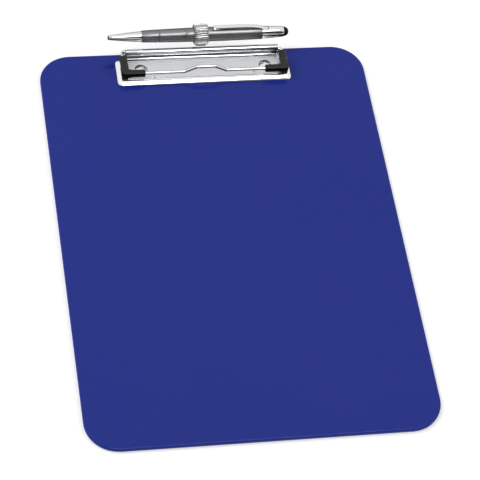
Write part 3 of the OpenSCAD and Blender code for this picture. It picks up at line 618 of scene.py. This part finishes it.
def add_rubber_corner(side, name, node):
    """Corner block, a sleeve along the side leg, a sleeve along the front bar, and the foot."""
    bm = bmesh.new()
    outer, inner = BAIL_X + SLEEVE_W / 2, BAIL_X - SLEEVE_W / 2
    front, rear = BAIL_FRONT - SLEEVE_D / 2, BAIL_FRONT + SLEEVE_D / 2
    low, high = HINGE_Z - SLEEVE_H / 2, HINGE_Z + SLEEVE_H / 2
    block_rear = BAIL_FRONT + 1.5 * (SLEEVE_D + 2 * BLOCK_PROUD)
    outline = [
        (outer + BLOCK_PROUD - BLOCK_L, front - BLOCK_PROUD),
        (outer + BLOCK_PROUD, front - BLOCK_PROUD),
        (outer + BLOCK_PROUD, block_rear), (inner - BLOCK_PROUD, block_rear),
        (inner - BLOCK_PROUD, rear + BLOCK_PROUD),
        (outer + BLOCK_PROUD - BLOCK_L, rear + BLOCK_PROUD),
    ]
    _, edges = polyline(bm, [mm(x, y, low - BLOCK_PROUD) for x, y in outline], closed=True)
    base = bmesh.ops.contextual_create(bm, geom=edges)["faces"]
    made = bmesh.ops.extrude_face_region(bm, geom=base, use_keep_orig=True)["geom"]
    bmesh.ops.translate(bm, vec=mm(0, 0, SLEEVE_H + 2 * BLOCK_PROUD), verts=verts_of(made))
    outer_front = [e for e in bm.edges if all(
        v.co.x > outer * MM and v.co.y < front * MM for v in e.verts)]
    soften(bm, outer_front, 2.6 * MM, 6)

    add_box(bm, (inner, outer), (BAIL_FRONT + 1, SLEEVE_REAR), (low, high))
    add_box(bm, (outer - FRONT_SLEEVE_L, BAIL_X), (front, rear), (low, high))
    add_box(bm, (inner + 0.2, outer - 0.2), (front + 0.35, rear - 0.35), (PLATE_TOP, HINGE_Z))
    bmesh.ops.recalc_face_normals(bm, faces=bm.faces)
    soften(bm, sharp_edges(bm, 30), 0.85 * MM, 4)
    if side < 0:
        bmesh.ops.scale(bm, vec=(-1, 1, 1), verts=bm.verts)
    finish_piece(name, bm, CORNER_RUBBER, "bail", [node])


def add_bail():
    bm = bmesh.new()
    left, right = leg_rear(-1), leg_rear(1)
    leg_end = mm(BAIL_X + LEG_L - BARREL_L / 2, 0, 0)
    corners = [
        left + leg_end, left, mm(-BAIL_X, BAIL_FRONT, HINGE_Z),
        mm(-BUMP_FOOT / 2, BAIL_FRONT, HINGE_Z), mm(-BUMP_TOP / 2, BAIL_FRONT, HINGE_Z + BUMP_H),
        mm(BUMP_TOP / 2, BAIL_FRONT, HINGE_Z + BUMP_H), mm(BUMP_FOOT / 2, BAIL_FRONT, HINGE_Z),
        mm(BAIL_X, BAIL_FRONT, HINGE_Z), right, right - leg_end,
    ]
    bends = [r * MM for r in (2.0, 3.5, 3.0, 3.0, 3.0, 3.0, 3.5, 2.0)]
    bent_wire(bm, corners, bends, WIRE_R * MM)
    finish_piece("bail", bm, WIRE_CHROME, "bail", ["bail_wire"])


def add_loop():
    """The coil: a flat oval helix carried round the ring, without twist."""
    bm = bmesh.new()
    count = LOOP_TURNS * PER_TURN
    centre = mm(LOOP_X, PEN_Y, PEN_Z)

    def point(i):
        phase = 2 * math.pi * i / PER_TURN
        side = math.copysign(abs(math.cos(phase)) ** 0.5, math.cos(phase))
        lift = math.copysign(abs(math.sin(phase)) ** 0.75, math.sin(phase))
        angle = math.pi + LOOP_LEAN + LOOP_GAP / 2 + (2 * math.pi - LOOP_GAP) * i / count
        r = LOOP_MID_R + COIL_HALF_H * lift
        return centre + mm(COIL_HALF_L * side, r * math.cos(angle), r * math.sin(angle))

    points = [point(i) for i in range(count + 1)]
    frames = []
    for i, here in enumerate(points):
        ahead = points[min(i + 1, count)] - points[max(i - 1, 0)]
        outward = here - Vector((here.x, centre.y, centre.z))
        side = ahead.cross(outward).normalized()
        up = side.cross(ahead).normalized()
        frames.append(Matrix.Translation(here) @ Matrix(
            (side, up, side.cross(up))).transposed().to_4x4())
    swept_ring(bm, frames, LOOP_WIRE_R * MM, 8)
    finish_piece("loop_coil", bm, SPRING_STEEL, "base", ["loop_spring"])


def add_rivet(side, node):
    bm = bmesh.new()
    x = side * RIVET_X
    base = PLATE_TOP - PANEL_DEPTH
    head = [(0, 1.5), (0.7, 1.47), (1.4, 1.38), (2.1, 1.24), (2.8, 1.03), (3.5, 0.75),
            (4.1, 0.45), (4.5, 0.2), (4.65, 0.0), (1.6, 0.0)]
    tail = [(1.6, 1.2 - base), (2.4, 0.9 - base), (2.5, 0.82 - base), (0, 0.8 - base)]
    turned(bm, [mm(x + r, RIVET_Y, base + z) for r, z in head + tail], mm(x, RIVET_Y, 0),
           (0, 0, 1), 48)
    finish_piece(node + "_turned", bm, PLATED_STEEL, "base", [node])


# ---------------------------------------------------------------- the pen

def add_pen():
    # A black lip at the nose's mouth: painted shade of the open end.
    turned_pen_piece("nose_mouth", [
        (-66.4, NOSE_BORE_R), (-66.4, 1.35), (-66.2, 1.5), (-65.9, 1.56), (-65.75, 1.5),
        (-65.75, NOSE_BORE_R), (-66.4, NOSE_BORE_R),
    ], SHADE_BLACK, "pen", [])
    turned_pen_piece("nose_cone", [
        (-65.8, NOSE_BORE_R), (-65.8, 1.45), (-65.6, 1.67), (-63, 1.97), (-60, 2.32), (-57, 2.64),
        (-52.6, 3.05), (-48.4, 3.4), (-45, 3.62), (-42.72, 3.7), (-42.7, 2.9), (-37, 2.9),
        (-37, 1.9), (-58, 1.9), (-58, NOSE_BORE_R), (-65.8, NOSE_BORE_R),
    ], PEN_CHROME, "pen", ["pen_nose_cone"])
    turned_pen_piece("lower_barrel", [
        (-42.6, 3.0), (-42.6, 4.15), (-37, 4.37), (-33, 4.49), (-31.02, 4.54), (-31.0, 4.15),
        (-30.5, 4.15), (-30.48, 4.55), (-28.6, 4.6), (-23, 4.72), (-17, 4.83), (-11.9, 4.9),
        (-11.9, 4.0), (-5.3, 4.0), (-5.3, 3.0), (-42.6, 3.0),
    ], GUNMETAL, "pen", ["pen_lower_barrel"])
    turned_pen_piece("upper_barrel", [
        (-11.8, 4.05), (-11.8, 4.9), (-8, 4.98), (-4, 5.04), (2, 5.09), (10, 5.1), (18, 5.08),
        (26, 5.02), (34, 4.92), (42.5, 4.8), (42.5, 3.6), (-4.8, 3.6), (-4.8, 4.05), (-11.8, 4.05),
    ], GUNMETAL, "pen_upper", ["pen_upper_barrel"])
    turned_pen_piece("cap_sleeve", [
        (36.6, 2.8), (36.6, 3.55), (42.6, 3.55), (42.6, 4.52), (47, 4.38), (52.6, 4.1),
        (57.9, 3.76),
        (58.3, 3.5), (58.3, 2.55), (54.1, 2.55), (54.1, 2.8), (36.6, 2.8),
    ], PEN_CHROME, "pen_upper", ["pen_cap_sleeve"])
    turned_pen_piece("stylus_dome", [
        (54.3, 0), (54.3, 2.5), (58.3, 2.5), (58.3, 3.45), (58.9, 3.42), (59.6, 3.26), (60.4, 2.9),
        (61.1, 2.35), (61.6, 1.6), (61.84, 0.8), (61.9, 0),
    ], STYLUS_RUBBER, "pen_upper", ["pen_stylus_tip"])


def add_return_spring():
    """The spring between the nose's seat and the refill's shoulder.

    In the pen it shortens as the refill comes forward; this mesh is drawn at its full length.
    """
    bm = bmesh.new()
    count = SPRING_TURNS * PER_TURN
    slack = 0.05
    length = SPRING_L - 2 * (SPRING_WIRE_R + slack)
    start = SPRING_SEAT_X + SPRING_WIRE_R + slack

    def point(i):
        angle = 2 * math.pi * i / PER_TURN
        return mm(start + length * i / count, PEN_Y + SPRING_R * math.cos(angle),
                  PEN_Z + SPRING_R * math.sin(angle))

    points = [point(i) for i in range(count + 1)]
    frames = []
    for i, here in enumerate(points):
        ahead = (points[min(i + 1, count)] - points[max(i - 1, 0)]).normalized()
        side = ahead.cross(Vector((1, 0, 0))).normalized()
        frames.append(Matrix.Translation(here) @ Matrix(
            (side, ahead.cross(side), ahead)).transposed().to_4x4())
    swept_ring(bm, frames, SPRING_WIRE_R * MM, 8)
    spring = finish_piece("return_spring", bm, SPRING_STEEL, "pen",
                          ["pen_return_spring"])
    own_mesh(spring)


def clip_face(x):
    """Height of the pen clip's outer face over the pen's axis: a low arch that dips to the cap."""
    t = (x - CLIP_FOOT_X) / (CLIP_RISER_X - CLIP_FOOT_X)
    return CLIP_RISE - 0.4 * (1 - t) ** 2 - 2.4 * t ** 6


def add_pen_clip():
    """One bent strip: pressed foot, arm, riser in front of the cap, and the tongue inside it."""
    bm = bmesh.new()
    steps = 24
    start = CLIP_FOOT_X + 0.5
    stations = [start + (CLIP_RISER_X - CLIP_FOOT_X - 0.5) * i / steps for i in range(steps + 1)]
    riser_front = CLIP_RISER_X - CLIP_T
    profile = [(x, clip_face(x)) for x in stations]
    profile += [(CLIP_RISER_X, TONGUE_TOP), (47.5, TONGUE_TOP), (47.5, TONGUE_TOP - CLIP_T),
                (riser_front, TONGUE_TOP - CLIP_T)]
    profile += [(x, clip_face(x) - CLIP_T) for x in [riser_front] + stations[-2:3:-1]]
    profile += [(12.1, 5.95), (11.5, 5.5), (10.8, 5.26), (10.0, 5.2), (9.2, 5.28), (8.5, 5.55),
                (7.9, 6.0), (7.55, 6.5), (7.6, 6.95)]
    side_y = PEN_Y - CLIP_W / 2
    verts, edges = polyline(bm, [mm(x, side_y, PEN_Z + r) for x, r in profile], closed=True)
    front = bmesh.ops.contextual_create(bm, geom=edges)["faces"]
    made = bmesh.ops.extrude_face_region(bm, geom=front, use_keep_orig=True)["geom"]
    bmesh.ops.translate(bm, vec=mm(0, CLIP_W, 0), verts=verts_of(made))
    bmesh.ops.bisect_plane(bm, geom=bm.verts[:] + bm.edges[:] + bm.faces[:], dist=1e-7,
                           plane_co=mm(0, PEN_Y - CLIP_W / 2 + CLIP_CHAMFER, 0), plane_no=(0, 1, 0))
    for v in verts[:len(stations)]:
        v.co.z -= CLIP_CHAMFER * MM
    verts[-1].co.z -= 0.2 * MM
    bmesh.ops.recalc_face_normals(bm, faces=bm.faces)
    soften(bm, sharp_edges(bm, 50), 0.2 * MM, 3)
    finish_piece("clip_strip", bm, PEN_CHROME, "pen_upper", ["pen_clip"])


def add_clip_stud():
    """The stud's low dome, and a dark ring sunk into the cap round it: painted shadow of the gap
    that the stud stands in.
    """
    bm = bmesh.new()
    rim = CAP_ROOT_R + 0.05
    profile = [(0, 0.35), (0.4, 0.32), (0.75, 0.22), (1.0, 0.08), (1.1, -0.08), (1.1, -0.6),
               (0, -0.6)]
    turned(bm, [mm(STUD_X + r, PEN_Y, PEN_Z + rim + z) for r, z in profile],
           mm(STUD_X, PEN_Y, 0), (0, 0, 1), 32)
    finish_piece("clip_stud", bm, PEN_CHROME, "pen_upper", ["pen_clip_stud"])

    # Painted shadow: a black ring that follows the cap's curve round the stud.
    bm = bmesh.new()
    profile = [(0, 0), (0.5, 0), (1.0, 0), (1.3, 0), (1.6, 0), (1.6, -0.4), (0, -0.4)]
    turned(bm, [mm(STUD_X + r, PEN_Y, PEN_Z + CAP_ROOT_R + z) for r, z in profile],
           mm(STUD_X, PEN_Y, 0), (0, 0, 1), 32)
    for v in bm.verts:
        drop = CAP_ROOT_R * MM - math.sqrt((CAP_ROOT_R * MM) ** 2 - (v.co.y - PEN_Y * MM) ** 2)
        v.co.z -= drop + 0.1 * MM
    finish_piece("stud_shadow_ring", bm, SHADE_BLACK, "pen_upper")


# ---------------------------------------------------------------- finishes on the CAD nodes

CAD_FINISHES = {
    "board": BOARD_PLASTIC,
    "washer_left": PLATED_STEEL,
    "washer_right": PLATED_STEEL,
    "loop_strap": SPRING_STEEL,
    "pen_guide_tube": ACETAL,
    "pen_cam_sleeve": ACETAL,
    "pen_follower": ACETAL,
    "pen_refill_tube": REFILL_TUBE,
    "pen_refill_tip": REFILL_BRASS,
    "pen_refill_ball": PLATED_STEEL,
}


def dress_cad_nodes():
    for node, material in CAD_FINISHES.items():
        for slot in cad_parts[node].material_slots:
            slot.material = material


add_plate_tray()
add_plate_barrel()
add_dimple(-1, "dimple_left")
add_dimple(1, "dimple_right")
add_rubber_corner(-1, "corner_left", "rubber_corner_left")
add_rubber_corner(1, "corner_right", "rubber_corner_right")
add_bail()
add_loop()
add_rivet(-1, "rivet_left")
add_rivet(1, "rivet_right")
add_pen()
add_return_spring()
add_pen_clip()
add_clip_stud()
dress_cad_nodes()


# ---------------------------------------------------------------- studio

FLOOR_SIZE, FLOOR_Z, FLOOR_GLOW = 3.0, -0.0002, 0.38

# What metal mirrors: greys from the front of the room (0) to its back (1).
ROOM_GREYS = [(0.0, 0.62), (0.02, 0.5), (0.045, 0.1), (0.08, 0.05), (0.17, 0.05), (0.25, 0.3),
              (0.32, 1.0), (0.965, 0.92), (1.0, 0.38)]


def add_floor():
    """A pale floor that glows a little where the camera or a mirror sees it."""
    bm = bmesh.new()
    bmesh.ops.create_grid(bm, x_segments=1, y_segments=1, size=FLOOR_SIZE)
    mesh = bpy.data.meshes.new("floor")
    bm.to_mesh(mesh)
    bm.free()
    floor = bpy.data.objects.new("floor", mesh)
    floor.location.z = FLOOR_Z
    bpy.context.scene.collection.objects.link(floor)
    material = bpy.data.materials.new("Pale Floor")
    material.use_nodes = True
    tree = material.node_tree
    shader = tree.nodes["Principled BSDF"]
    shader.inputs["Base Color"].default_value = (0.82, 0.82, 0.82, 1)
    shader.inputs["Roughness"].default_value = 0.9
    shader.inputs["Specular IOR Level"].default_value = 0.0
    path = tree.nodes.new("ShaderNodeLightPath")
    seen = path.outputs["Is Camera Ray"]
    for ray in ("Is Glossy Ray", "Is Transmission Ray"):
        either = tree.nodes.new("ShaderNodeMath")
        either.operation = "MAXIMUM"
        tree.links.new(seen, either.inputs[0])
        tree.links.new(path.outputs[ray], either.inputs[1])
        seen = either.outputs[0]
    lift = tree.nodes.new("ShaderNodeMath")
    lift.operation = "MULTIPLY"
    lift.inputs[1].default_value = FLOOR_GLOW
    shader.inputs["Emission Color"].default_value = (1, 1, 1, 1)
    tree.links.new(seen, lift.inputs[0])
    tree.links.new(lift.outputs[0], shader.inputs["Emission Strength"])
    mesh.materials.append(material)


def add_lamp(name, place, aim, size, watts, mirrored=False):
    """A soft box that lights the object, or else one that is only mirrored in it."""
    data = bpy.data.lights.new(name, "AREA")
    data.shape = "RECTANGLE"
    data.size, data.size_y = size
    data.energy = watts
    lamp = bpy.data.objects.new(name, data)
    lamp.visible_glossy, lamp.visible_diffuse = mirrored, not mirrored
    lamp.location = place
    lamp.rotation_euler = (Vector(aim) - Vector(place)).to_track_quat("-Z", "Y").to_euler()
    bpy.context.scene.collection.objects.link(lamp)


def add_world():
    """Even light for the object, white behind it, and a room with a dark front for metal."""
    world = bpy.data.worlds.new("Studio")
    bpy.context.scene.world = world
    world.use_nodes = True
    tree = world.node_tree
    tree.nodes.clear()
    out = tree.nodes.new("ShaderNodeOutputWorld")
    room, shine, white = (tree.nodes.new("ShaderNodeBackground") for _ in range(3))
    room.inputs["Color"].default_value = (1, 1, 1, 1)
    room.inputs["Strength"].default_value = 0.5
    shine.inputs["Strength"].default_value = 1.2
    white.inputs["Strength"].default_value = 1.0
    white.inputs["Color"].default_value = (1, 1, 1, 1)
    where = tree.nodes.new("ShaderNodeTexCoord")
    split = tree.nodes.new("ShaderNodeSeparateXYZ")
    across = tree.nodes.new("ShaderNodeMapRange")
    across.inputs["From Min"].default_value = -1.0
    ramp = tree.nodes.new("ShaderNodeValToRGB")
    elements = ramp.color_ramp.elements
    while len(elements) < len(ROOM_GREYS):
        elements.new(0.5)
    for element, (position, value) in zip(elements, ROOM_GREYS):
        element.position = position
        element.color = (value, value, value, 1)
    tree.links.new(where.outputs["Generated"], split.inputs[0])
    tree.links.new(split.outputs["Y"], across.inputs["Value"])
    tree.links.new(across.outputs["Result"], ramp.inputs["Fac"])
    tree.links.new(ramp.outputs["Color"], shine.inputs["Color"])
    path = tree.nodes.new("ShaderNodeLightPath")
    glossy, camera = (tree.nodes.new("ShaderNodeMixShader") for _ in range(2))
    tree.links.new(path.outputs["Is Glossy Ray"], glossy.inputs[0])
    tree.links.new(room.outputs[0], glossy.inputs[1])
    tree.links.new(shine.outputs[0], glossy.inputs[2])
    tree.links.new(path.outputs["Is Camera Ray"], camera.inputs[0])
    tree.links.new(glossy.outputs[0], camera.inputs[1])
    tree.links.new(white.outputs[0], camera.inputs[2])
    tree.links.new(camera.outputs[0], out.inputs["Surface"])


add_floor()
add_world()
add_lamp("key", (-1.3, 0.5, 1.6), (0, 0.05, 0), (1.0, 1.0), 16)
add_lamp("fill", (1.6, -0.9, 1.2), (0, 0, 0), (1.2, 1.2), 10)
add_lamp("strip", (0.21, -0.25, 1.13), (0, 0.15, 0), (1.0, 0.34), 8, mirrored=True)
bpy.context.scene.view_settings.view_transform = "Standard"
